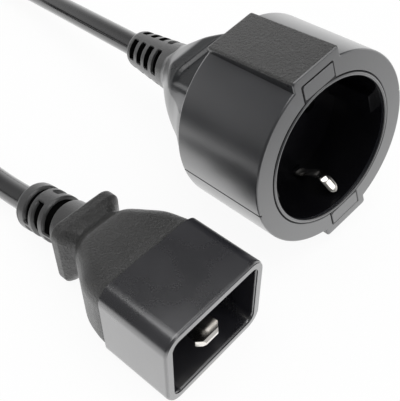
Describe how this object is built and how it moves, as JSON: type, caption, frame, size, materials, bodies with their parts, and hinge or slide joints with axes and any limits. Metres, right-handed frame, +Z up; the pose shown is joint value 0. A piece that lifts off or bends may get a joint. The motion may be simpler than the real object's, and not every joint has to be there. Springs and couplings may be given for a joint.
{
  "type": "power adapter lead with in-line c20 plug and earthed round socket",
  "caption": "Short black power lead: an in-line shrouded plug with flat blades, which mates with a C19 connector, and a round earthed in-line socket.",
  "frame": {"origin": "on the table under the middle of the plug", "axes": "+X out of the plug's mouth, +Z up from the table, +Y towards the round socket"},
  "size_m": [0.2315, 0.117, 0.0612],
  "materials": {
    "shroud_plastic": "smooth satin black hard plastic",
    "overmould": "fine textured matt black flexible moulding",
    "socket_case": "satin black moulding with fine texture on the keyed blocks",
    "insert_plastic": "smooth satin black hard plastic",
    "plated_metal": "bright nickel plate",
    "cord_sheath": "smooth black cord sheath with a low sheen",
    "line_insulation": "smooth brown insulation",
    "neutral_insulation": "smooth blue insulation",
    "earth_insulation": "smooth green and yellow insulation"
  },
  "bodies": {
    "root": {"plug_shroud": "shroud_plastic", "plug_overmould": "overmould", "plug_line_pin": "plated_metal", "plug_neutral_pin": "plated_metal", "plug_earth_pin": "plated_metal", "plug_line_core": "line_insulation", "plug_neutral_core": "neutral_insulation", "plug_earth_core": "earth_insulation", "plug_cord_end": "cord_sheath", "cord_plug_run": "cord_sheath", "cord_coil": "cord_sheath", "cord_socket_run": "cord_sheath", "socket_cord_end": "cord_sheath", "socket_overmould": "socket_case", "socket_insert": "insert_plastic", "socket_back_cover": "insert_plastic", "socket_line_contact": "plated_metal", "socket_neutral_contact": "plated_metal", "socket_earth_strap": "plated_metal", "socket_line_core": "line_insulation", "socket_neutral_core": "neutral_insulation", "socket_earth_core": "earth_insulation"}
  },
  "joints": []
}
